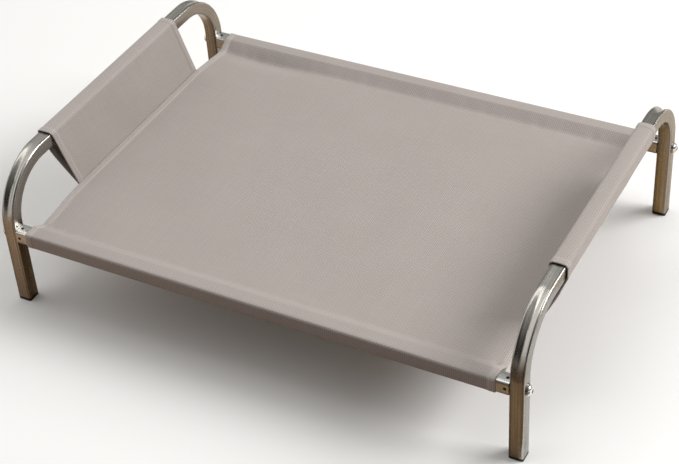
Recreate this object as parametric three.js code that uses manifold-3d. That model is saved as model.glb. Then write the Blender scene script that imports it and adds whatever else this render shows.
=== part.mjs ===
// Raised dog bed: two bent-tube end frames, two rails, a cloth sling and a cloth panel at each end.
// Millimetres. +X runs along the bed, +Y to its back and +Z up. The origin is on the floor, under
// the middle of the bed.
import * as THREE from 'three';
import { mergeVertices } from 'three/addons/utils/BufferGeometryUtils.js';
import Module from 'manifold-3d';

const wasm = await Module();
wasm.setup();

// Whole frame
const frameLength = 762; // over the outer faces of the legs
const frameWidth = 552; // over the outer faces of the legs
const frameHeight = 215; // floor to the top of the end bars
const railHeight = 115; // floor to the middle of the rails
const gap = 0.3; // between pieces that touch
const slack = 1e-6; // rounding error that comparisons allow

// Square steel tube
const tubeSize = 20;
const tubeWall = 1.2;
const tubeCorner = 2.5; // outside corner radius
const bendRadius = 76; // to the middle of the tube
const bendSteps = 22;
const cornerSteps = 3;
// Half way round a bend the outer wall has a groove, and its sides lie lower.
const grooveDepth = 3.5;
const grooveSteps = 6; // points across the groove
const wallSink = 1.5;

// Bolts, washers and threaded plugs
const boltRadius = 4;
const boltHoleRadius = 4.5;
const boltHeadRadius = 7.4;
const boltHeadHeight = 4.8;
const boltHeadRim = 0.8; // straight edge under the dome
const boltReach = 20; // how far the shank goes into a rail
const boltChamfer = 1;
const domeSteps = 5;
const socketWidth = 5; // hexagon socket, across flats
const socketDepth = 2.8;
const washerRadius = 8.2;
const washerThickness = 1.4;
const plugLength = 26;
const punchRadius = 2.3; // holes that lock a plug in its rail
const punchInset = 5; // from the rail's end
const roundSegments = 24;

// Foot caps
const capFlange = 4;
const capStemHeight = 16;
const capStemWall = 2;
const capFinThickness = 1.6;
const capFinHeights = [4, 11]; // above the flange
const capFinReach = 1.2; // fins stand out this far from the stem

// Cloth
const clothThickness = 1.2;
const clothGap = 0.4; // between cloth and tube
const seamSegments = 8; // round the outside of a sleeve's seam
const slingSeamInset = 37; // outer face of a rail to the stitching of its sleeve
const sleeveLength = 687;
const slingLength = 694; // across the middle of the hemmed ends
const slingShoulder = { length: 692, inset: 30 }; // where the end hems start to turn in
const panelWidth = 316;
const panelSeamOffset = 1.5; // end of the sling to the foot of a panel
const panelShift = {
  left: { bar: -10, seam: 16 }, // the left panel has crept to the front along its bar
  right: { bar: 9, seam: 9 },
};

const legX = (frameLength - tubeSize) / 2;
const legY = (frameWidth - tubeSize) / 2;
const barZ = frameHeight - tubeSize / 2;
const railEnd = frameLength / 2 - tubeSize - gap;
const boreSize = tubeSize - 2 * tubeWall; // inside width of the tube
const plugSize = boreSize - 2 * gap;

const steel = { color: 0xb9b6ae, roughness: 0.32, metalness: 1 };
const chrome = { color: 0xd8d8d6, roughness: 0.12, metalness: 1 };
const blackSteel = { color: 0x2a2a2b, roughness: 0.55, metalness: 0.6 };
const blackPlastic = { color: 0x161616, roughness: 0.6, metalness: 0 };
const cloth = { color: 0xa79f98, roughness: 0.9, metalness: 0 };

// Turns that carry a section drawn in local X and Y to where it is extruded along X or along Y.
const alongX = new THREE.Matrix4().makeBasis(
  new THREE.Vector3(0, 1, 0),
  new THREE.Vector3(0, 0, 1),
  new THREE.Vector3(1, 0, 0),
);
const alongY = new THREE.Matrix4().makeBasis(
  new THREE.Vector3(1, 0, 0),
  new THREE.Vector3(0, 0, 1),
  new THREE.Vector3(0, -1, 0),
);

const bed = new THREE.Group();

function addPart(name, geometry, finish, position = [0, 0, 0]) {
  const mesh = new THREE.Mesh(geometry, new THREE.MeshStandardMaterial(finish));
  mesh.name = name;
  mesh.position.set(...position);
  bed.add(mesh);
  return mesh;
}

function toSolid(geometry) {
  const bare = geometry.clone();
  bare.deleteAttribute('normal');
  bare.deleteAttribute('uv');
  const merged = mergeVertices(bare);
  return new wasm.Manifold(new wasm.Mesh({
    numProp: 3,
    vertProperties: new Float32Array(merged.attributes.position.array),
    triVerts: new Uint32Array(merged.index.array),
  }));
}

function toGeometry(solid) {
  const mesh = solid.getMesh();
  const geometry = new THREE.BufferGeometry();
  geometry.setAttribute('position', new THREE.BufferAttribute(mesh.vertProperties, 3));
  geometry.setIndex(new THREE.BufferAttribute(mesh.triVerts, 1));
  geometry.computeVertexNormals();
  return geometry;
}

// Outline of a square with round corners, anticlockwise from the start of the +x face's upper corner.
function squareOutline(size, radius) {
  const reach = size / 2 - radius;
  const points = [];
  [[1, 1], [-1, 1], [-1, -1], [1, -1]].forEach(([sideX, sideY], corner) => {
    for (let i = 0; i <= cornerSteps; i += 1) {
      const angle = (corner + i / cornerSteps) * Math.PI / 2;
      const x = sideX * reach + radius * Math.cos(angle);
      const y = sideY * reach + radius * Math.sin(angle);
      points.push(new THREE.Vector2(x, y));
    }
  });
  return points;
}

// A straight block of square section, centred on the origin along the extrusion.
function squareBlock(size, radius, length) {
  const shape = new THREE.Shape(squareOutline(size, radius));
  const block = new THREE.ExtrudeGeometry(shape, { depth: length, bevelEnabled: false });
  return block.translate(0, 0, -length / 2);
}

function crossCylinder(radius, length) {
  const cylinder = new THREE.CylinderGeometry(radius, radius, length, roundSegments);
  return cylinder.rotateZ(Math.PI / 2);
}

// Places along the middle line of an end frame, from the front foot over the bar to the back foot.
// angle is the way out of the bend; crush is 0 to 1, the share of the bend's full crushing there.
function frameStations(footZ) {
  const bendY = legY - bendRadius;
  const bendZ = barZ - bendRadius;
  const stations = [{ y: -legY, z: footZ, angle: Math.PI, crush: 0 }];
  for (const side of [-1, 1]) {
    for (let i = 0; i <= bendSteps; i += 1) {
      const turn = (side < 0 ? 1 : 0.5) - i / bendSteps / 2;
      const angle = turn * Math.PI;
      stations.push({
        y: side * bendY + bendRadius * Math.cos(angle),
        z: bendZ + bendRadius * Math.sin(angle),
        angle,
        crush: Math.sin(Math.PI * i / bendSteps),
      });
    }
  }
  stations.push({ y: legY, z: footZ, angle: 0, crush: 0 });
  return stations;
}

// Section of the tube's outside, or of its bore when inset is the wall. `out` points out of the bend.
// sink is how far a point moves in where the tube is crushed most.
function grooveSection(inset) {
  const size = tubeSize - 2 * inset;
  const radius = tubeCorner - inset;
  const section = squareOutline(size, radius);
  const flat = size / 2 - radius;
  for (let i = 1; i < grooveSteps; i += 1) {
    section.push(new THREE.Vector2(size / 2, flat * (2 * i / grooveSteps - 1)));
  }
  return section.map((point) => {
    const onFace = point.x > size / 2 - slack;
    const groove = onFace ? grooveDepth * Math.cos(Math.PI / 2 * point.y / flat) ** 2 : 0;
    const height = 0.5 + point.x / tubeSize; // 0 at the inner wall, 1 at the outer
    return { out: point.x, along: point.y, sink: groove + wallSink * height };
  });
}

// Closed body swept along an end frame: a fan at each foot and quads between neighbouring stations.
function sweptFrame(inset, footZ) {
  const stations = frameStations(footZ);
  const section = grooveSection(inset);
  const count = section.length;
  const positions = [];
  for (const station of stations) {
    for (const point of section) {
      const out = point.out - point.sink * station.crush;
      const y = station.y + out * Math.cos(station.angle);
      const z = station.z + out * Math.sin(station.angle);
      positions.push(point.along, y, z);
    }
  }
  const last = (stations.length - 1) * count;
  const index = [];
  for (let ring = 0; ring < last; ring += count) {
    for (let i = 0; i < count; i += 1) {
      const next = (i + 1) % count;
      index.push(ring + i, ring + next, ring + count + i);
      index.push(ring + next, ring + count + next, ring + count + i);
    }
  }
  for (let i = 1; i < count - 1; i += 1) {
    index.push(0, i + 1, i);
    index.push(last, last + i, last + i + 1);
  }
  const geometry = new THREE.BufferGeometry();
  geometry.setAttribute('position', new THREE.Float32BufferAttribute(positions, 3));
  geometry.setIndex(index);
  return geometry;
}

function makeEndFrame() {
  const footZ = capFlange + gap;
  let tube = toSolid(sweptFrame(0, footZ)).subtract(toSolid(sweptFrame(tubeWall, footZ - tubeSize)));
  for (const y of [-legY, legY]) {
    const hole = crossCylinder(boltHoleRadius, 2 * tubeSize).translate(0, y, railHeight);
    tube = tube.subtract(toSolid(hole));
  }
  return toGeometry(tube);
}

// A rail lies along X. Its punched holes are on the top face and on the face at side * Y.
function makeRail(side) {
  const outside = squareBlock(tubeSize, tubeCorner, 2 * railEnd).applyMatrix4(alongX);
  const bore = squareBlock(boreSize, tubeCorner - tubeWall, frameLength).applyMatrix4(alongX);
  let tube = toSolid(outside).subtract(toSolid(bore));
  for (const end of [-1, 1]) {
    const x = end * (railEnd - punchInset);
    const punch = () => new THREE.CylinderGeometry(punchRadius, punchRadius, tubeSize / 2, roundSegments);
    const top = punch().rotateX(Math.PI / 2).translate(x, 0, tubeSize / 2);
    const face = punch().translate(x, side * tubeSize / 2, 0);
    tube = tube.subtract(toSolid(top)).subtract(toSolid(face));
  }
  return toGeometry(tube);
}

function makePlug() {
  const block = squareBlock(plugSize, tubeCorner - tubeWall, plugLength).applyMatrix4(alongX);
  const thread = crossCylinder(boltRadius + gap, 2 * plugLength);
  return toGeometry(toSolid(block).subtract(toSolid(thread)));
}

// Domed bolt along X: the head's seat is at x = 0, the dome at +X and the shank at -X.
function makeBolt(shankLength) {
  const domeRise = boltHeadHeight - boltHeadRim;
  const domeRadius = (boltHeadRadius ** 2 + domeRise ** 2) / (2 * domeRise);
  const domeSpan = Math.asin(boltHeadRadius / domeRadius);
  const profile = [
    new THREE.Vector2(0, -shankLength),
    new THREE.Vector2(boltRadius - boltChamfer, -shankLength),
    new THREE.Vector2(boltRadius, boltChamfer - shankLength),
    new THREE.Vector2(boltRadius, 0),
    new THREE.Vector2(boltHeadRadius, 0),
  ];
  for (let i = 0; i < domeSteps; i += 1) {
    const angle = domeSpan * (1 - i / domeSteps);
    const height = boltHeadHeight - domeRadius * (1 - Math.cos(angle));
    profile.push(new THREE.Vector2(domeRadius * Math.sin(angle), height));
  }
  profile.push(new THREE.Vector2(0, boltHeadHeight));
  const body = new THREE.LatheGeometry(profile, roundSegments);
  const socketRadius = socketWidth / Math.sqrt(3);
  const socket = new THREE.CylinderGeometry(socketRadius, socketRadius, 2 * socketDepth, 6);
  socket.translate(0, boltHeadHeight, 0);
  return toGeometry(toSolid(body).subtract(toSolid(socket))).rotateZ(-Math.PI / 2);
}

function makeWasher() {
  const disc = crossCylinder(washerRadius, washerThickness);
  const hole = crossCylinder(boltHoleRadius, 2 * washerThickness);
  return toGeometry(toSolid(disc).subtract(toSolid(hole)));
}

// Foot cap: a flange under the leg and a hollow stem inside it, gripped by three square fins.
function makeFootCap() {
  const finSize = plugSize;
  const stemSize = finSize - 2 * capFinReach;
  const layer = (size, from, height) => {
    const block = squareBlock(size, tubeCorner - tubeWall, height);
    return toSolid(block.translate(0, 0, from + height / 2));
  };
  const flange = squareBlock(tubeSize, tubeCorner, capFlange).translate(0, 0, capFlange / 2);
  let cap = toSolid(flange).add(layer(stemSize, capFlange / 2, capFlange / 2 + capStemHeight));
  for (const height of capFinHeights) {
    cap = cap.add(layer(finSize, capFlange + height, capFinThickness));
  }
  return toGeometry(cap.subtract(layer(stemSize - 2 * capStemWall, capFlange, tubeSize)));
}

// Smallest convex outline round some points, anticlockwise.
function convexOutline(points) {
  const sorted = [...points].sort((a, b) => a.x - b.x || a.y - b.y);
  const half = (order) => {
    const chain = [];
    for (const point of order) {
      while (chain.length > 1) {
        const [a, b] = chain.slice(-2);
        if ((b.x - a.x) * (point.y - a.y) - (b.y - a.y) * (point.x - a.x) > slack) break;
        chain.pop();
      }
      chain.push(point);
    }
    return chain.slice(0, -1);
  };
  return [...half(sorted), ...half(sorted.reverse())];
}

// Section of cloth pulled tight round a square tube at `tube` and sewn together at `seam`.
function tautLoop(tube, seam) {
  const outline = (offset, seamRadius) => {
    const square = squareOutline(tubeSize + 2 * offset, tubeCorner + offset).map((p) => p.add(tube));
    const round = new THREE.EllipseCurve(seam.x, seam.y, seamRadius, seamRadius);
    const end = seamRadius > 0 ? round.getPoints(seamSegments).slice(1) : [seam];
    return convexOutline([...square, ...end]);
  };
  const shape = new THREE.Shape(outline(clothGap + clothThickness, clothThickness));
  shape.holes.push(new THREE.Path(outline(clothGap, 0)));
  return shape;
}

function extrudeCentred(shape, length, turn) {
  const body = new THREE.ExtrudeGeometry(shape, { depth: length, bevelEnabled: false });
  return body.translate(0, 0, -length / 2).applyMatrix4(turn);
}

// Flat part of the sling, seen from above. Its ends turn in towards the sleeves.
function slingOutline() {
  const seamY = frameWidth / 2 - slingSeamInset;
  const corner = [
    [sleeveLength / 2, seamY],
    [slingShoulder.length / 2, seamY - slingShoulder.inset],
    [slingLength / 2, panelWidth / 2],
  ];
  const right = [...corner.map(([x, y]) => [x, -y]), ...[...corner].reverse()];
  const left = [...right].reverse().map(([x, y]) => [-x, y]);
  return new THREE.Shape([...right, ...left].map(([x, y]) => new THREE.Vector2(x, y)));
}

function makeSling() {
  const flat = new THREE.ExtrudeGeometry(slingOutline(), { depth: clothThickness, bevelEnabled: false });
  let sling = toSolid(flat.translate(0, 0, railHeight - clothThickness / 2));
  const seamY = frameWidth / 2 - slingSeamInset;
  for (const side of [-1, 1]) {
    const tube = new THREE.Vector2(side * legY, railHeight);
    const seam = new THREE.Vector2(side * (seamY + clothThickness / 2), railHeight);
    sling = sling.add(toSolid(extrudeCentred(tautLoop(tube, seam), sleeveLength, alongX)));
  }
  return toGeometry(sling);
}

// Loop over one top bar, sewn to the end of the sling. It leans along Y between bar and seam.
function makePanel(side, shift) {
  const seamX = slingLength / 2 + panelSeamOffset;
  const loop = tautLoop(
    new THREE.Vector2(side * legX, barZ),
    new THREE.Vector2(side * seamX, railHeight),
  );
  const slope = (shift.bar - shift.seam) / (barZ - railHeight);
  const lean = new THREE.Matrix4().set(
    1, 0, 0, 0,
    0, 1, slope, shift.seam - slope * railHeight,
    0, 0, 1, 0,
    0, 0, 0, 1,
  );
  return extrudeCentred(loop, panelWidth, alongY).applyMatrix4(lean);
}

const headSeat = frameLength / 2 + 2 * gap + washerThickness;
const boltShank = headSeat - railEnd + boltReach;

for (const [end, sideX] of [['left', -1], ['right', 1]]) {
  addPart(`${end}_end_frame`, makeEndFrame(), steel, [sideX * legX, 0, 0]);
  addPart(`${end}_end_panel`, makePanel(sideX, panelShift[end]), cloth);
  for (const [row, sideY] of [['front', -1], ['rear', 1]]) {
    const corner = `${row}_${end}`;
    const y = sideY * legY;
    const bolt = addPart(`${corner}_bolt`, makeBolt(boltShank), chrome, [sideX * headSeat, y, railHeight]);
    bolt.rotation.z = sideX < 0 ? Math.PI : 0;
    const washerX = sideX * (frameLength / 2 + gap + washerThickness / 2);
    addPart(`${corner}_washer`, makeWasher(), chrome, [washerX, y, railHeight]);
    const plugX = sideX * (railEnd - plugLength / 2);
    addPart(`${corner}_rail_plug`, makePlug(), blackSteel, [plugX, y, railHeight]);
    addPart(`${corner}_foot_cap`, makeFootCap(), blackPlastic, [sideX * legX, y, 0]);
  }
}
addPart('front_rail', makeRail(-1), steel, [0, -legY, railHeight]);
addPart('rear_rail', makeRail(1), steel, [0, legY, railHeight]);
addPart('base_sling', makeSling(), cloth);

export default bed;
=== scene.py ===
"""Looks for the raised dog bed: mesh cloth sling and end panels on a frame of satin square tube."""

import math
import random

import bpy
import numpy as np
from mathutils import Matrix, Vector


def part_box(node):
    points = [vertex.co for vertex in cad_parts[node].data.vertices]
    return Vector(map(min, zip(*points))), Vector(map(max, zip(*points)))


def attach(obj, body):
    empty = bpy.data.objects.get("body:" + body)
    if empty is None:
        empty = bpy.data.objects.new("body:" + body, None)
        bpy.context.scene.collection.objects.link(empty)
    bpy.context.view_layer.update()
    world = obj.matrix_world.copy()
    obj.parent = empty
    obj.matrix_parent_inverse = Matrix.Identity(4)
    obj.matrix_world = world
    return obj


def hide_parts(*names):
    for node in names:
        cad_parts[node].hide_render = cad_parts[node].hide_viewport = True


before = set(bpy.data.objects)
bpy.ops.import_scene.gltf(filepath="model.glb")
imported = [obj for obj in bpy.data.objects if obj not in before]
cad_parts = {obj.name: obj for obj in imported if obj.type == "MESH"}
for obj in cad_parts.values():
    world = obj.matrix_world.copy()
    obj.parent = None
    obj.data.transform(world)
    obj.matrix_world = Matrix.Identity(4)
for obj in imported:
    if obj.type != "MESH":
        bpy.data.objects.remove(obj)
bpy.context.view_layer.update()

# Sizes in metres, beside those read from the frame.
TUBE_CORNER = 0.0025        # outside corner radius of the square tube
BEND_OUTER = 0.086          # outside radius of the end frames' bends
CLOTH = 0.0008              # one thickness of cloth
RAIL_LIFT = 0.0009          # middle of the cloth above a rail, which its sleeve fits tightly
BAR_LIFT = 0.0019           # middle of the cloth above an end frame's bar, which a panel fits loosely
BAR_CROWN = 0.0011          # how much higher the cloth stands above the middle of that bar
WIDEST_CELL = 0.006         # of the cloth's mesh
TINY = 1e-6                 # closer than this is the same place
WELD = 0.00001              # corners of a CAD solid closer than this are joined

# Hems and stitches.
HEM = 0.009                 # width of a folded hem
HEM_STITCH = 0.0065         # a hem's edge to its row of stitches
HEM_STEP = 0.0003           # half the width of the step down from a hem
EDGE_CELL = 0.0012          # first cell in from a hemmed edge
PAST_HEM = 0.003            # first cell past a hem
NEXT_CELL = 0.005           # and the one after that
STITCH_PITCH = 0.0042
STITCH_LENGTH = 0.0031
STITCH_RADIUS = 0.00035
STITCH_TIP = 0.25           # a stitch's thickness at its ends, as a share of its middle
THREAD_PITCH = 0.00275      # from one thread of the weave to the next

# The sling.
SEAM_INSET = 0.037          # outer face of a rail to the stitching of its sleeve
SEAM_TAIL = 0.013           # cloth beyond that stitching, folded back under the sling
SEAM_ROWS = 0.006           # between the two rows of that stitching
LAYER_GAP = 0.0001          # half the gap between the layers where they are sewn
SLING_SAG = 0.005           # how far the middle of the sling hangs down
END_STRIP = 0.03            # strip at each end of the sling that keeps its width
TURN_START = 0.02           # how far inside a panel's edge the sling's end starts to turn in
END_LIFT = 0.003            # how far the panels pull up the ends of the sling
LIFT_START = 0.24           # distance from the bed's middle where that pull begins
LIFT_RUN = 0.1              # how far it takes to reach its full height
LIFT_FADE = 0.09            # how far in from a seam the pull takes to reach that height
PUCKER = 0.0006             # height of the puckers beside a seam
PUCKER_ENDS = 0.0013        # how much higher they are at the sling's ends
PUCKER_REACH = 0.10         # how far in from the ends that lasts
PUCKER_WAVE = 0.021         # from one pucker to the next, about
PUCKER_SLANT = 0.3
PUCKER_OFFSET = 0.005       # their highest line is this far out from the seam
PUCKER_WIDTH = 0.009
PUCKER_SEED = 4
CORNER_DIP = 0.0045         # how far the sheet dips beside the rear seam near its left end
DIP_X = -0.26               # where along the sling it is deepest
DIP_LENGTH = 0.075
DIP_INSET = 0.004           # and how far in from the seam
DIP_WIDTH = 0.013
SHEET_WAVE = 0.0004         # height of the slow waves in the sheet
SHEET_WAVE_LENGTH = 0.16
SHEET_WAVE_SLANT = 0.35
SHEET_SEED = 7

# The end panels.
FLANGE = 0.009              # how far a panel's foot runs in under the sling
OUTER_START = 0.0018        # sling's end to the foot of a panel's outer layer
INNER_START = 0.0009        # sling's end to the foot of its inner layer
INNER_RISE = 0.0030         # where that layer becomes straight, above the foot
INNER_END = 0.0010          # where that layer ends, above the foot
OUTER_TOUCH = -22           # degrees round the bar's lower corner where the outer layer meets it
INNER_LEAVE = 171           # degrees round its upper corner where the inner layer leaves it
PANEL_FLARE = 0.0022        # how far the front edge of a panel's outer layer stands out
FLARE_REACH = 0.02          # how far in from that edge the flare lasts
PANEL_WAVE = 0.0011         # height of the slow waves in a panel
PANEL_WAVE_LENGTH = 0.19
PANEL_SEED = 11
FREE_ABOVE_RAIL = 0.02      # height over which a panel becomes free to wave, above a rail's middle
FREE_BELOW_BAR = 0.03       # and below its bar
EDGE_BAND = 0.002           # height of the band of CAD points that make a panel's foot or top
LEFT_SHIFT = 0.004          # how much further back the left panel sits on its bar than at its foot

SHARP_EDGE = 38             # degrees between two faces of a CAD solid that stay a sharp edge
FLOOR_REACH = 12.0          # from the bed's middle to the floor's edge
BOARD_HEIGHT = 0.001        # the boards' height above the floor

# Colours, as linear red, green, blue and opacity.
THREAD_DARK = (0.375, 0.328, 0.305, 1)
THREAD_LIGHT = (0.435, 0.384, 0.360, 1)
# painted highlight on the threads' crowns
PAINTED_CROWN_HIGHLIGHT = (0.62, 0.57, 0.54, 1)
HEM_TINT = (0.62, 0.57, 0.53, 1)
# painted shade in the gaps between the threads
PAINTED_GAP_SHADE = (0.25, 0.216, 0.197, 1)
SEWING_DARK = (0.36, 0.33, 0.305, 1)
SEWING_LIGHT = (0.50, 0.465, 0.435, 1)
TUBE_DARK = (0.38, 0.36, 0.325, 1)
TUBE_LIGHT = (0.62, 0.61, 0.575, 1)
RAIL_DARK = (0.60, 0.605, 0.59, 1)
RAIL_LIGHT = (0.86, 0.88, 0.87, 1)
STEEL_PATCH = (0.34, 0.31, 0.265, 1)
# painted shade, for beside the tubes' corners and on their sides
PAINTED_STEEL_SHADE = (0.16, 0.145, 0.12, 1)
CHROME_DARK = (0.80, 0.80, 0.79, 1)
CHROME_LIGHT = (0.90, 0.90, 0.89, 1)
FLOOR_PALE = (0.92, 0.915, 0.905, 1)
BOARD_TAN = (0.64, 0.55, 0.46, 1)
ROOM_TINT = (1.0, 0.985, 0.96, 1)

# The camera: where it stands, and how far it looks down, turns and rolls, in degrees.
CAMERA_PLACE = (0.9024, -1.5920, 1.4982)
CAMERA_DOWN = 38.58
CAMERA_TURN = -29.93
CAMERA_ROLL = -4.0
CAMERA_LENS = 87.72         # in millimetres, on a sensor this wide
CAMERA_SENSOR = 36.0

# Places read from the frame.
REAR_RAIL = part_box("rear_rail")
TUBE = REAR_RAIL[1].y - REAR_RAIL[0].y
RAIL_Z = (REAR_RAIL[0].z + REAR_RAIL[1].z) / 2
RAIL_Y = (REAR_RAIL[0].y + REAR_RAIL[1].y) / 2
SEAM_Y = REAR_RAIL[1].y - SEAM_INSET
END_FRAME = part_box("right_end_frame")
BAR_X = (END_FRAME[0].x + END_FRAME[1].x) / 2
BAR_Z = END_FRAME[1].z - TUBE / 2
SLING_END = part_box("base_sling")[1].x


def node_points(name):
    """A CAD node's vertices as an array."""
    return np.array([v.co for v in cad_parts[name].data.vertices])


def sleeve_end():
    """Half the length of the sling's sleeves, from the CAD sling's highest points."""
    points = node_points("base_sling")
    return points[points[:, 2] > RAIL_Z + TUBE / 2][:, 0].max()


# ---------------------------------------------------------------- lines and grids

def subdivide(points, longest):
    """The same line, with points added so that no step is longer than longest."""
    out = [points[0]]
    for a, b in zip(points, points[1:]):
        a = np.array(a, float)
        b = np.array(b, float)
        steps = max(1, math.ceil(np.linalg.norm(b - a) / longest))
        out += [a + (b - a) * k / steps for k in range(1, steps + 1)]
    return np.array(out, float)


def run_along(line):
    """The distance along a line from its first point to each of its points."""
    lengths = np.linalg.norm(np.diff(line, axis=0), axis=1)
    return np.concatenate([[0], np.cumsum(lengths)])


def arc(centre, radius, start, end, steps=6):
    """Points on part of a circle, angles in degrees."""
    angles = np.radians(np.linspace(start, end, steps + 1))
    return [(centre[0] + radius * math.cos(a), centre[1] + radius * math.sin(a)) for a in angles]


def round_corner(tube, lift, side_u, side_v, start, end):
    """The cloth's bend round one corner of a square tube, from angle start to end."""
    reach = TUBE / 2 - TUBE_CORNER
    middle = (tube[0] + side_u * reach, tube[1] + side_v * reach)
    return arc(middle, TUBE_CORNER + lift, start, end)


def smooth(t):
    """0 below 0, 1 above 1 and an even S between."""
    t = np.clip(t, 0, 1)
    return t * t * (3 - 2 * t)


def ripple(at, wavelength, seed):
    """A wandering wave of height about 1, the same on each run."""
    draw = random.Random(seed)
    total = np.zeros_like(at)
    for stretch in (0.6, 0.8, 1.0, 1.3, 1.9):
        total += np.sin(2 * math.pi * (at / (wavelength * stretch) + draw.random()))
    return total / 3


def across(low, high):
    """Places between two hemmed edges, and each place's distance to the nearer edge."""
    past = HEM + PAST_HEM
    near = np.array([0, EDGE_CELL, HEM_STITCH, HEM - HEM_STEP, HEM + HEM_STEP, past, past + NEXT_CELL])
    inner = near[-1]
    count = math.ceil((high - low - 2 * inner) / WIDEST_CELL)
    middle = np.linspace(low + inner, high - inner, count + 1)[1:-1]
    places = np.concatenate([low + near, middle, high - near[::-1]])
    return places, np.minimum(places - low, high - places)


def grid_normals(points):
    """Unit normals of a grid of points."""
    down = np.gradient(points, axis=0)
    along = np.gradient(points, axis=1)
    normals = np.cross(along, down)
    return normals / np.linalg.norm(normals, axis=2, keepdims=True)


def new_object(name, points, faces):
    """A smooth-shaded mesh object in the scene."""
    mesh = bpy.data.meshes.new(name)
    mesh.from_pydata([tuple(p) for p in points], [], faces)
    mesh.polygons.foreach_set("use_smooth", [True] * len(mesh.polygons))
    mesh.update()
    made = bpy.data.objects.new(name, mesh)
    bpy.context.scene.collection.objects.link(made)
    return made


def cloth_piece(name, points, uv, from_edge, hem_shade):
    """A sheet from a grid of points: two layers thick within HEM of its edges, one elsewhere."""
    rows, columns = points.shape[:2]
    faces = [
        (r * columns + c, r * columns + c + 1, (r + 1) * columns + c + 1, (r + 1) * columns + c)
        for r in range(rows - 1)
        for c in range(columns - 1)
    ]
    made = new_object(name, points.reshape(-1, 3), faces)
    layer = made.data.uv_layers.new(name="cloth")
    corners = np.array(faces).ravel()
    layer.data.foreach_set("uv", uv.reshape(-1, 2)[corners].astype(np.float32).ravel())
    past_hem = smooth((from_edge - HEM) / (2 * HEM_STEP))
    hem = np.broadcast_to(hem_shade * (1 - past_hem), (rows, columns))
    made.data.attributes.new("hem", "FLOAT", "POINT").data.foreach_set("value", hem.ravel())
    layers = made.vertex_groups.new(name="layers")
    single = np.broadcast_to(from_edge > HEM, (rows, columns)).ravel()
    layers.add(np.flatnonzero(single).tolist(), 0.5, "REPLACE")
    layers.add(np.flatnonzero(~single).tolist(), 1.0, "REPLACE")
    thick = made.modifiers.new("thickness", "SOLIDIFY")
    thick.thickness = 2 * CLOTH
    thick.offset = 0
    thick.vertex_group = "layers"
    thick.thickness_vertex_group = 0
    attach(made, "root")
    return made


# ---------------------------------------------------------------- stitches

def stitch_shape(sides=6, rings=5):
    """One stitch along X, unit length and radius, as points and faces."""
    points = []
    faces = []
    for i in range(rings):
        t = i / (rings - 1)
        swell = max(STITCH_TIP, math.sin(math.pi * t) ** 0.5)
        for k in range(sides):
            a = 2 * math.pi * k / sides
            points.append((t - 0.5, swell * math.cos(a), swell * math.sin(a)))
    for i in range(rings - 1):
        for k in range(sides):
            n = (k + 1) % sides
            faces.append((i * sides + k, (i + 1) * sides + k, (i + 1) * sides + n, i * sides + n))
    faces.append(tuple(range(sides)))
    faces.append(tuple(range((rings - 1) * sides, rings * sides))[::-1])
    return np.array(points), faces


def points_at(want, at, values):
    """Vectors at the wanted distances, between values given at the distances at."""
    return np.column_stack([np.interp(want, at, values[:, k]) for k in range(3)])


def stitch_row(line, normals):
    """Places, directions and normals of the stitches along a line on the cloth's surface."""
    at = run_along(line)
    want = np.arange(STITCH_PITCH / 2, at[-1], STITCH_PITCH)
    first = points_at(want - STITCH_LENGTH / 2, at, line)
    last = points_at(want + STITCH_LENGTH / 2, at, line)
    way = last - first
    way_length = np.linalg.norm(way, axis=1)[:, None]
    return (first + last) / 2, way / way_length, points_at(want, at, normals)


def stitching(name, rows):
    """All the stitches of some rows as one piece."""
    shape, shape_faces = stitch_shape()
    points = []
    faces = []
    for line, normals in rows:
        for place, way, normal in zip(*stitch_row(line, normals)):
            side = np.cross(normal, way)
            base = len(points) * len(shape)
            local = (
                shape[:, :1] * way * STITCH_LENGTH
                + shape[:, 1:2] * side * STITCH_RADIUS
                + shape[:, 2:] * normal * STITCH_RADIUS
            )
            points.append(place + local)
            faces += [tuple(base + i for i in face) for face in shape_faces]
    made = new_object(name, np.concatenate(points), faces)
    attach(made, "root")
    made.data.materials.append(thread_material())
    return made


def hem_columns(from_edge):
    """The columns of a cloth's grid where its hems are stitched."""
    return np.flatnonzero(np.abs(from_edge - HEM_STITCH) < TINY)


def both_surfaces(points, normals, from_edge):
    """The cloth's surfaces on its normals' side and on the other side."""
    half_thick = np.where(from_edge > HEM, CLOTH / 2, CLOTH)[None, :, None]
    return points + normals * half_thick, points - normals * half_thick


# ---------------------------------------------------------------- materials

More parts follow.
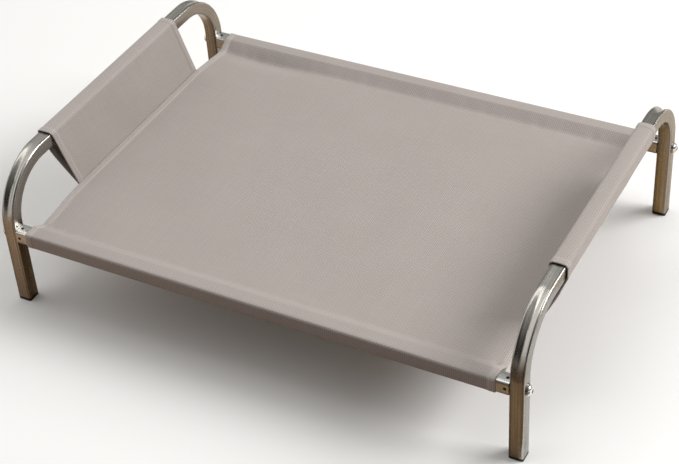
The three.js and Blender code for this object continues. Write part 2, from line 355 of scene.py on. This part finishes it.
class Tree:
    """Short calls for making a node material."""

    def __init__(self, name):
        self.material = bpy.data.materials.new(name)
        self.material.use_nodes = True
        self.nodes = self.material.node_tree.nodes
        self.links = self.material.node_tree.links
        self.shader = self.nodes["Principled BSDF"]

    def add(self, kind, inputs=None, **settings):
        node = self.nodes.new(kind)
        for key, value in settings.items():
            setattr(node, key, value)
        for key, value in (inputs or {}).items():
            self.put(node.inputs[key], value)
        return node

    def put(self, socket, value):
        if isinstance(value, bpy.types.NodeSocket):
            self.links.new(value, socket)
        else:
            socket.default_value = value

    def place(self):
        return self.add("ShaderNodeTexCoord").outputs["Object"]

    def math(self, operation, a, b=0.0):
        return self.add("ShaderNodeMath", {0: a, 1: b}, operation=operation).outputs[0]

    def times(self, a, b):
        return self.math("MULTIPLY", a, b)

    def plus(self, a, b):
        return self.math("ADD", a, b)

    def split(self, vector):
        return self.add("ShaderNodeSeparateXYZ", {0: vector}).outputs

    def join(self, x, y, z):
        return self.add("ShaderNodeCombineXYZ", {0: x, 1: y, 2: z}).outputs[0]

    def noise(self, vector, scale, detail=2.0, roughness=0.5):
        inputs = {"Vector": vector, "Scale": scale, "Detail": detail, "Roughness": roughness}
        return self.add("ShaderNodeTexNoise", inputs).outputs["Fac"]

    def ramp(self, value, low, high, from_low=0.0, from_high=1.0):
        inputs = {0: value, 1: from_low, 2: from_high, 3: low, 4: high}
        return self.add("ShaderNodeMapRange", inputs).outputs[0]

    def blend(self, factor, a, b):
        node = self.add("ShaderNodeMix", data_type="RGBA")
        self.put(node.inputs["Factor"], factor)
        self.put(node.inputs["A"], a)
        self.put(node.inputs["B"], b)
        return node.outputs["Result"]

    def bump(self, height, distance, strength):
        inputs = {"Height": height, "Distance": distance, "Strength": strength}
        node = self.add("ShaderNodeBump", inputs)
        self.put(self.shader.inputs["Normal"], node.outputs[0])

    def finish(self, **inputs):
        for key, value in inputs.items():
            self.put(self.shader.inputs[key.replace("_", " ")], value)
        return self.material


def cloth_material():
    """Coated mesh cloth: a plain weave of round threads, warm grey, with painted shade in the gaps and a
    painted highlight on the threads' crowns.
    """
    t = Tree("mesh_cloth_weave")
    place = t.add("ShaderNodeUVMap", uv_map="cloth").outputs[0]
    u, v, _ = t.split(place)
    turn = math.pi / THREAD_PITCH
    wave_u = t.math("COSINE", t.times(u, turn))
    wave_v = t.math("COSINE", t.times(v, turn))
    check = t.times(wave_u, wave_v)
    warp = t.math("SQRT", t.math("ABSOLUTE", wave_u))
    weft = t.math("SQRT", t.math("ABSOLUTE", wave_v))
    warp_height = t.times(warp, t.ramp(check, low=0.35, high=1.0, from_low=-1.0))
    weft_height = t.times(weft, t.ramp(check, low=1.0, high=0.35, from_low=-1.0))
    height = t.math("MAXIMUM", warp_height, weft_height)
    fine = 420.0
    slow = 9.0
    other_layer = 3.0
    streaks = t.noise(t.join(t.times(u, fine), t.times(v, slow), 0.0), scale=1.0)
    cross = t.noise(t.join(t.times(u, slow), t.times(v, fine), other_layer), scale=1.0)
    cloud = t.noise(place, scale=9.0, detail=3.0)
    lines = t.plus(t.times(streaks, 0.5), t.times(cross, 0.5))
    shade = t.plus(t.times(lines, 0.6), t.times(cloud, 0.4))
    spread = t.ramp(shade, low=0.0, high=1.0, from_low=0.3, from_high=0.7)
    thread = t.blend(spread, THREAD_DARK, THREAD_LIGHT)
    # Painted highlight: lighter where the threads cross at their crowns.
    pale = t.blend(0.22, thread, PAINTED_CROWN_HIGHLIGHT)
    thread = t.blend(t.ramp(check, low=0.0, high=0.8, from_low=-0.6, from_high=0.6), thread, pale)
    hem = t.add("ShaderNodeAttribute", attribute_name="hem").outputs["Fac"]
    thread = t.blend(t.times(hem, 0.45), thread, HEM_TINT)
    # Painted shade in the gaps between the threads, where the weave is low.
    above_gap = t.ramp(height, low=0.0, high=1.0, from_low=0.35, from_high=0.75)
    colour = t.blend(above_gap, PAINTED_GAP_SHADE, thread)
    t.bump(height, distance=0.0005, strength=0.45)
    return t.finish(Base_Color=colour, Roughness=0.72, Sheen_Weight=0.15, Sheen_Roughness=0.5)


def thread_material():
    """Polyester sewing thread, a little lighter than the cloth."""
    found = bpy.data.materials.get("sewing_thread")
    if found:
        return found
    t = Tree("sewing_thread")
    twist = t.noise(t.place(), scale=900.0)
    t.bump(twist, distance=0.0001, strength=0.5)
    return t.finish(Base_Color=t.blend(twist, SEWING_DARK, SEWING_LIGHT), Roughness=0.55)


def steel_material(name, dark, light, across_place, along, shade):
    """Satin drawn steel: fine lines along the tube, painted shade beside its corners and on its sides,
    patches and specks.
    """
    t = Tree(name)
    place = t.place()
    u, v = across_place(t, place)
    run = along(t, place)

    def drawn(across_scale, along_scale):
        """Noise stretched along the tube."""
        stretched = t.join(t.times(u, across_scale), t.times(v, across_scale), t.times(run, along_scale))
        return t.noise(stretched, scale=1.0, detail=3.0, roughness=0.6)

    lines = drawn(across_scale=2600.0, along_scale=14.0)
    bands = drawn(across_scale=420.0, along_scale=6.0)
    patches = t.noise(place, scale=38.0, detail=4.0, roughness=0.6)
    specks = t.noise(place, scale=420.0)
    tint = t.blend(t.ramp(bands, low=0.0, high=1.0, from_low=0.3, from_high=0.7), dark, light)
    worn = t.ramp(patches, low=0.0, high=0.35, from_low=0.45, from_high=0.75)
    tint = t.blend(worn, tint, STEEL_PATCH)
    # Painted shade: darker beside the corners and on the sides, standing in for dark reflections.
    tint = t.blend(t.times(shade(t, place), 0.6), tint, PAINTED_STEEL_SHADE)
    rough_lines = t.ramp(lines, low=0.16, high=0.30, from_low=0.3, from_high=0.7)
    rough_patches = t.ramp(patches, low=0.0, high=0.10, from_low=0.4, from_high=0.7)
    rough_specks = t.ramp(specks, low=0.0, high=0.06, from_low=0.55, from_high=0.8)
    rough = t.plus(t.plus(rough_lines, rough_patches), rough_specks)
    t.bump(t.plus(t.times(lines, 0.2), t.times(bands, 0.8)), distance=0.00025, strength=0.7)
    return t.finish(Base_Color=tint, Metallic=1.0, Roughness=rough)


def frame_across(t, place):
    """Across a tube bent in the YZ plane: X, and the distance from the middle of its bend."""
    x, y, z = t.split(place)
    bend_y = END_FRAME[1].y - BEND_OUTER
    bend_z = END_FRAME[1].z - BEND_OUTER
    out_y = t.math("MAXIMUM", t.math("SUBTRACT", t.math("ABSOLUTE", y), bend_y), 0.0)
    out_z = t.math("MAXIMUM", t.math("SUBTRACT", z, bend_z), 0.0)
    return x, t.math("SQRT", t.plus(t.times(out_y, out_y), t.times(out_z, out_z)))


def frame_along(t, place):
    """A distance that changes along the legs and along the bar."""
    _, y, z = t.split(place)
    return t.math("SUBTRACT", y, z)


def rail_across(t, place):
    """Across a rail: Y and Z."""
    _, y, z = t.split(place)
    return y, z


def rail_along(t, place):
    """Along a rail: X."""
    return t.split(place)[0]


def painted_shade_across(t, from_middle, beyond):
    """A tube's painted shade across its width: 1 where its corners begin, 0 on them, beyond on the
    sides.
    """
    corner = TUBE / 2 - TUBE_CORNER
    begins = t.ramp(from_middle, 0.0, 1.0, corner - TUBE_CORNER * 0.5, corner)
    ends = t.ramp(from_middle, 0.0, 1.0, corner + TUBE_CORNER * 0.2, corner + TUBE_CORNER * 0.5)
    sides = t.ramp(from_middle, 0.0, beyond, corner + TUBE_CORNER * 0.8, corner + TUBE_CORNER * 0.96)
    return t.plus(t.math("SUBTRACT", begins, ends), sides)


def frame_painted_shade(t, place):
    """The painted shade of an end frame, across its width in X."""
    from_centre = t.math("ABSOLUTE", t.split(place)[0])
    return painted_shade_across(t, t.math("ABSOLUTE", t.math("SUBTRACT", from_centre, BAR_X)), beyond=0.8)


def rail_painted_shade(t, place):
    """The painted shade of a rail, across its height."""
    from_middle = t.math("ABSOLUTE", t.math("SUBTRACT", t.split(place)[2], RAIL_Z))
    return painted_shade_across(t, from_middle, beyond=0.4)


def chrome_material():
    """Bright plating, with faint marks and small changes of gloss."""
    t = Tree("bright_plating")
    marks = t.noise(t.place(), scale=700.0)
    t.bump(marks, distance=0.00003, strength=0.3)
    colour = t.blend(marks, CHROME_DARK, CHROME_LIGHT)
    return t.finish(Base_Color=colour, Metallic=1.0, Roughness=t.ramp(marks, low=0.08, high=0.2))


def black_material(name, dark, light, metallic, grain):
    """Black plastic or blackened steel with a fine grain."""
    t = Tree(name)
    place = t.place()
    fine = t.noise(place, grain, detail=3.0)
    wide = t.noise(place, scale=60.0)
    colour = t.blend(wide, (dark, dark, dark, 1), (light, light, light * 0.97, 1))
    t.bump(fine, distance=0.0001, strength=0.35)
    return t.finish(Base_Color=colour, Metallic=metallic, Roughness=t.ramp(wide, low=0.42, high=0.62))


# ---------------------------------------------------------------- CAD pieces

def smooth_by_angle(degrees):
    """A modifier that joins a CAD solid's faces and shades them smooth up to an angle."""
    tree = bpy.data.node_groups.new("smooth_by_angle", "GeometryNodeTree")
    tree.interface.new_socket("Geometry", in_out="INPUT", socket_type="NodeSocketGeometry")
    tree.interface.new_socket("Geometry", in_out="OUTPUT", socket_type="NodeSocketGeometry")
    start = tree.nodes.new("NodeGroupInput")
    end = tree.nodes.new("NodeGroupOutput")
    plain = tree.nodes.new("GeometryNodeRemoveAttribute")
    plain.inputs["Name"].default_value = "custom_normal"
    weld = tree.nodes.new("GeometryNodeMergeByDistance")
    weld.inputs["Distance"].default_value = WELD
    faces = tree.nodes.new("GeometryNodeSetShadeSmooth")
    edges = tree.nodes.new("GeometryNodeSetShadeSmooth")
    edges.domain = "EDGE"
    edges.inputs["Shade Smooth"].default_value = False
    angle = tree.nodes.new("GeometryNodeInputMeshEdgeAngle")
    sharp = tree.nodes.new("FunctionNodeCompare")
    sharp.operation = "GREATER_THAN"
    sharp.inputs["B"].default_value = math.radians(degrees)
    tree.links.new(angle.outputs["Unsigned Angle"], sharp.inputs["A"])
    tree.links.new(sharp.outputs["Result"], edges.inputs["Selection"])
    chain = [start, plain, weld, faces, edges, end]
    for a, b in zip(chain, chain[1:]):
        tree.links.new(a.outputs["Geometry"], b.inputs["Geometry"])
    return tree


def dress_frame():
    """Gives every CAD node that stays its material and smooth shading."""
    chrome = chrome_material()
    finishes = {
        "end_frame": steel_material(
            "satin_tube_bent", TUBE_DARK, TUBE_LIGHT, frame_across, frame_along, frame_painted_shade
        ),
        "rail": steel_material(
            "satin_tube_straight", RAIL_DARK, RAIL_LIGHT, rail_across, rail_along, rail_painted_shade
        ),
        "bolt": chrome,
        "washer": chrome,
        "rail_plug": black_material("blackened_steel", dark=0.03, light=0.06, metallic=0.7, grain=500.0),
        "foot_cap": black_material(
            "moulded_black_plastic", dark=0.012, light=0.028, metallic=0.0, grain=900.0
        ),
    }
    shading = smooth_by_angle(SHARP_EDGE)
    for name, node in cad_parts.items():
        kinds = [k for k in finishes if name.endswith(k)]
        if not kinds:
            continue
        node.material_slots[0].material = finishes[max(kinds, key=len)]
        node.modifiers.new("smooth_by_angle", "NODES").node_group = shading


# ---------------------------------------------------------------- sling

def sling_section():
    """Section of the sling across the bed as (y, z): front tail, sleeve, sheet, sleeve, rear tail."""
    rail = (RAIL_Y, RAIL_Z)
    layer = CLOTH / 2 + LAYER_GAP
    corners = (
        (-1, 1, 120, 90),
        (1, 1, 90, 0),
        (1, -1, 0, -90),
        (-1, -1, -90, -120),
    )
    rear = [(SEAM_Y - SEAM_ROWS, RAIL_Z + layer), (SEAM_Y, RAIL_Z + layer)]
    for side_y, side_z, start, end in corners:
        rear += round_corner(rail, RAIL_LIFT, side_y, side_z, start, end)
    rear += [(SEAM_Y, RAIL_Z - layer), (SEAM_Y - SEAM_TAIL, RAIL_Z - layer)]
    front = [(-y, z) for y, z in reversed(rear)]
    return subdivide(front + rear, WIDEST_CELL)


def sling_half_length(y):
    """Half the sling's length at y: its ends turn in from the panels to the sleeves."""
    inner = max(abs(node_points(f"{end}_end_panel")[:, 1]).max() for end in ("left", "right"))
    turn = smooth((np.abs(y) - inner + TURN_START) / (SEAM_Y - inner + TURN_START))
    return SLING_END + (sleeve_end() - SLING_END) * turn


def sling_surface(section):
    """The sling's middle surface as a grid of points, and its columns' distances from its ends."""
    share, from_end = across(-SLING_END, SLING_END)
    y = section[:, :1]
    z = section[:, 1:]
    half = sling_half_length(y)
    strip = np.sign(share) * (half - from_end)
    sheet = share * (half - END_STRIP) / (SLING_END - END_STRIP)
    x = np.where(from_end < END_STRIP, strip, sheet)
    on_sheet = np.clip(1 - (y / SEAM_Y) ** 2, 0, 1)
    pulled = smooth((np.abs(x) - LIFT_START) / LIFT_RUN) * smooth((SEAM_Y - np.abs(y)) / LIFT_FADE)
    z = z - SLING_SAG * on_sheet * (1 - (x / SLING_END) ** 2) + END_LIFT * pulled
    beside_seam = np.exp(-((np.abs(y) - SEAM_Y - PUCKER_OFFSET) / PUCKER_WIDTH) ** 2) * (z > RAIL_Z)
    pucker = PUCKER + PUCKER_ENDS * np.exp(-from_end / PUCKER_REACH)
    z = z + beside_seam * pucker * ripple(x + PUCKER_SLANT * y, PUCKER_WAVE, PUCKER_SEED)
    dip_x = (x - DIP_X) / DIP_LENGTH
    dip_y = (y - SEAM_Y + DIP_INSET) / DIP_WIDTH
    z = z - CORNER_DIP * np.exp(-dip_x ** 2 - dip_y ** 2)
    z = z + on_sheet * SHEET_WAVE * ripple(x + SHEET_WAVE_SLANT * y, SHEET_WAVE_LENGTH, SHEET_SEED)
    return np.dstack([x, np.broadcast_to(y, x.shape), z]), from_end


def sling_stitch_rows(section, points, from_end):
    """The hems' rows on both sides of the sling, and two rows along the top of each sleeve's seam."""
    normals = -grid_normals(points)
    top, under = both_surfaces(points, normals, from_end)
    hems = hem_columns(from_end)
    between_seams = np.abs(section[:, 0]) < SEAM_Y + TINY
    sheet = np.flatnonzero(between_seams & (section[:, 1] > RAIL_Z))
    rows = [(top[:, i], normals[:, i]) for i in hems]
    rows += [(under[sheet, i], -normals[sheet, i]) for i in hems]
    for seam in (-SEAM_Y, -SEAM_Y + SEAM_ROWS, SEAM_Y - SEAM_ROWS, SEAM_Y):
        level = sheet[np.argmin(np.abs(section[sheet, 0] - seam))]
        rows.append((top[level], normals[level]))
    return rows


def make_sling():
    """The base sling, with its hems, sleeves, sag and stitches."""
    section = sling_section()
    run = run_along(section)
    points, from_end = sling_surface(section)
    x = points[:, :, 0]
    uv = np.dstack([x, np.broadcast_to(run[:, None], x.shape)])
    sling = cloth_piece("sling_cloth", points, uv, from_end, hem_shade=1.0)
    sling.data.materials.append(cloth_material())
    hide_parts("base_sling")
    sewn = stitching("sling_stitching", sling_stitch_rows(section, points, from_end))


# ---------------------------------------------------------------- end panels

def panel_section():
    """Section of the right panel as (x, z): foot, outer layer, over the bar, inner layer."""
    bar = (BAR_X, BAR_Z)
    foot_z = RAIL_Z + END_LIFT - 2 * CLOTH
    foot = [
        (SLING_END - FLANGE, foot_z),
        (SLING_END + CLOTH / 2, foot_z),
        (SLING_END + OUTER_START, foot_z + CLOTH),
    ]
    outer = round_corner(bar, BAR_LIFT, 1, -1, OUTER_TOUCH, 0)
    over = round_corner(bar, BAR_LIFT, 1, 1, 0, 90) + round_corner(bar, BAR_LIFT, -1, 1, 90, INNER_LEAVE)
    over = subdivide(over, WIDEST_CELL / 3)
    across_bar = np.clip((over[:, 0] - BAR_X) / (TUBE / 2), -1, 1)
    over[:, 1] += BAR_CROWN * (1 - across_bar ** 2) * (over[:, 1] > BAR_Z)
    inner = [(SLING_END + INNER_START, foot_z + INNER_RISE), (SLING_END + CLOTH, foot_z + INNER_END)]
    return subdivide(foot + outer + list(over) + inner, WIDEST_CELL)


def panel_edges(name):
    """The heights of a panel's foot and top, each with its low and high y, from the CAD."""
    points = node_points(name)
    low = points[:, 2].min()
    high = points[:, 2].max()
    foot = points[points[:, 2] < low + EDGE_BAND]
    top = points[points[:, 2] > high - EDGE_BAND]
    return (low, foot[:, 1].min(), foot[:, 1].max()), (high, top[:, 1].min())


def panel_surface(section, name, side):
    """A panel's middle surface as a grid, its width, and its columns' places and hem distances."""
    (low_z, low_start, low_end), (high_z, high_start) = panel_edges(name)
    width = low_end - low_start
    share, from_edge = across(0, width)
    x = section[:, :1]
    z = section[:, 1:]
    up = (z - low_z) / (high_z - low_z)
    y = low_start + (high_start - low_start + LEFT_SHIFT * (side < 0)) * up + share
    above_foot = smooth((z - RAIL_Z) / FREE_ABOVE_RAIL)
    free = above_foot * smooth((BAR_Z - TUBE / 2 - z) / FREE_BELOW_BAR)
    outer = np.arange(len(section))[:, None] < len(section) / 2
    flare = np.sin(np.pi * np.clip(up, 0, 1)) * np.exp(-share / FLARE_REACH) * outer
    wave = PANEL_WAVE * ripple(y, PANEL_WAVE_LENGTH, PANEL_SEED + side)
    x = x + free * wave + PANEL_FLARE * free * flare
    return np.dstack([side * x, y, np.broadcast_to(z, y.shape)]), width, share, from_edge


def make_panel(end, side):
    """One end panel: a loop of cloth over the bar, sewn to the sling at its foot."""
    name = f"{end}_end_panel"
    section = panel_section()
    run = run_along(section)
    points, width, share, from_edge = panel_surface(section, name, side)
    grid = points.shape[:2]
    uv = np.dstack([np.broadcast_to(share, grid), np.broadcast_to(run[:, None], grid)])
    if side < 0:
        points = points[:, ::-1]
        uv = uv[:, ::-1]
        from_edge = from_edge[::-1]
    panel = cloth_piece(f"{end}_panel_cloth", points, uv, from_edge, hem_shade=0.35)
    panel.data.materials.append(bpy.data.materials["mesh_cloth_weave"])
    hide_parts(name)
    normals = grid_normals(points)
    top = both_surfaces(points, normals, from_edge)[0]
    rows = [(top[:, i], normals[:, i]) for i in hem_columns(from_edge)]
    for level in (len(section) - 2, len(section) - 3):
        rows.append((top[level], normals[level]))
    sewn = stitching(f"{end}_panel_stitching", rows)


# ---------------------------------------------------------------- stage, light and camera

def floor_material():
    """The pale matt floor."""
    return Tree("pale_floor").finish(Base_Color=FLOOR_PALE, Roughness=0.9)


def board_material(name, left, right):
    """A board's upper face, from one colour at the bed's left end to another at its middle."""
    t = Tree(name)
    geometry = t.add("ShaderNodeNewGeometry").outputs
    along = t.ramp(t.split(geometry["Position"])[0], low=0.0, high=1.0, from_low=-BAR_X, from_high=0.0)
    solid = t.math("SUBTRACT", 1.0, geometry["Backfacing"])
    return t.finish(Base_Color=t.blend(along, left, right), Roughness=0.7, Alpha=solid)


def stage_plane(name, low, high, z, material):
    """A level rectangle of the stage, between two corners."""
    corners = [(low[0], low[1], z), (high[0], low[1], z), (high[0], high[1], z), (low[0], high[1], z)]
    plane = new_object(name, corners, [(0, 1, 2, 3)])
    plane.data.materials.append(material)
    return plane


def make_stage():
    """A pale floor, with boards on it that only reflections and bounced light see."""
    edge = FLOOR_REACH
    stage_plane("floor", (-edge, -edge), (edge, edge), 0.0, floor_material())
    brown = board_material("brown_board", left=(0.37, 0.240, 0.145, 1), right=(0.23, 0.143, 0.073, 1))
    # Painted shade: this board turns near black from the bed's left end to its middle and beyond, to
    # darken the light bounced onto the front of the sleeve.
    brown_into_shade = board_material("brown_into_shade_board", left=(0.38, 0.248, 0.150, 1), right=(0.07, 0.036, 0.014, 1))
    amber = board_material("amber_board", left=(0.38, 0.250, 0.150, 1), right=(0.38, 0.240, 0.110, 1))
    tan = board_material("tan_board", left=BOARD_TAN, right=BOARD_TAN)
    left = -0.8
    right = 1.1
    split = BAR_X + TUBE / 4
    boards = (
        ("far_front_board", (left, -2.6), (right, -0.46), brown_into_shade),
        ("front_board", (left, -0.46), (right, -0.30), brown),
        ("leg_board", (left, -0.30), (split, -0.22), brown),
        ("middle_board", (left, -0.22), (split, RAIL_Y), amber),
        ("right_board", (split, 0.05), (1.6, 1.2), tan),
        ("rear_board", (left, RAIL_Y), (split, 1.2), tan),
    )
    for name, low, high, material in boards:
        board = stage_plane(name, low, high, BOARD_HEIGHT, material)
        board.visible_camera = False
        board.visible_shadow = False


def area_light(name, place, size, power):
    """A window of light that faces the bed."""
    data = bpy.data.lights.new(name, "AREA")
    data.shape = "RECTANGLE"
    data.size, data.size_y = size
    data.energy = power
    light = bpy.data.objects.new(name, data)
    bpy.context.scene.collection.objects.link(light)
    light.location = place
    light.rotation_mode = "QUATERNION"
    bed = Vector((0, 0, 0.1))
    light.rotation_quaternion = (bed - Vector(place)).to_track_quat("-Z", "Y")


def make_world():
    """A grey room: dim in front, bright on the left, a little lighter overhead."""
    world = bpy.data.worlds.new("room")
    bpy.context.scene.world = world
    world.use_nodes = True
    nodes = world.node_tree.nodes
    links = world.node_tree.links

    def fade(value, low, high, from_low, from_high):
        node = nodes.new("ShaderNodeMapRange")
        node.interpolation_type = "SMOOTHSTEP"
        for socket, number in zip(list(node.inputs)[1:5], (from_low, from_high, low, high)):
            socket.default_value = number
        links.new(value, node.inputs[0])
        return node.outputs[0]

    def combine(operation, a, b):
        node = nodes.new("ShaderNodeMath")
        node.operation = operation
        links.new(a, node.inputs[0])
        links.new(b, node.inputs[1])
        return node.outputs[0]

    parts = nodes.new("ShaderNodeSeparateXYZ")
    links.new(nodes.new("ShaderNodeTexCoord").outputs["Generated"], parts.inputs[0])
    x, y, z = parts.outputs
    overhead = fade(z, low=0.25, high=0.38, from_low=0.0, from_high=0.9)
    behind = fade(y, low=0.1, high=1.0, from_low=-0.9, from_high=-0.1)
    on_left = fade(x, low=0.75, high=0.0, from_low=-0.5, from_high=-0.3)
    forward = fade(y, low=1.0, high=0.2, from_low=0.15, from_high=0.5)
    level = combine("ADD", combine("MULTIPLY", overhead, behind), combine("MULTIPLY", on_left, forward))
    links.new(level, nodes["Background"].inputs["Strength"])
    nodes["Background"].inputs["Color"].default_value = ROOM_TINT


def make_lights():
    """A large window on the right, and two weaker ones above and behind."""
    area_light("right_window", place=(4.15, 2.2, 3.8), size=(3.4, 2.6), power=285)
    area_light("back_window", place=(-0.7, 0.5, 3.95), size=(3.4, 1.8), power=37)
    area_light("far_window", place=(2.9, 4.0, 3.0), size=(1.4, 0.7), power=24)
    bpy.context.scene.view_settings.view_transform = "Standard"


def make_camera():
    """The camera, from its place and its three angles."""
    data = bpy.data.cameras.new("camera")
    data.sensor_width = CAMERA_SENSOR
    data.lens = CAMERA_LENS
    camera = bpy.data.objects.new("camera", data)
    bpy.context.scene.collection.objects.link(camera)
    down = math.radians(CAMERA_DOWN)
    turn = math.radians(CAMERA_TURN)
    roll = math.radians(CAMERA_ROLL)
    ahead = Vector((math.cos(down) * math.sin(turn), math.cos(down) * math.cos(turn), -math.sin(down)))
    level = ahead.cross(Vector((0, 0, 1))).normalized()
    above = level.cross(ahead)
    right = level * math.cos(roll) + above * math.sin(roll)
    up = right.cross(ahead)
    facing = Matrix((right, up, -ahead)).transposed().to_4x4()
    camera.matrix_world = Matrix.Translation(CAMERA_PLACE) @ facing
    bpy.context.scene.camera = camera


make_camera()
dress_frame()
make_sling()
make_panel("left", -1)
make_panel("right", 1)
make_stage()
make_world()
make_lights()
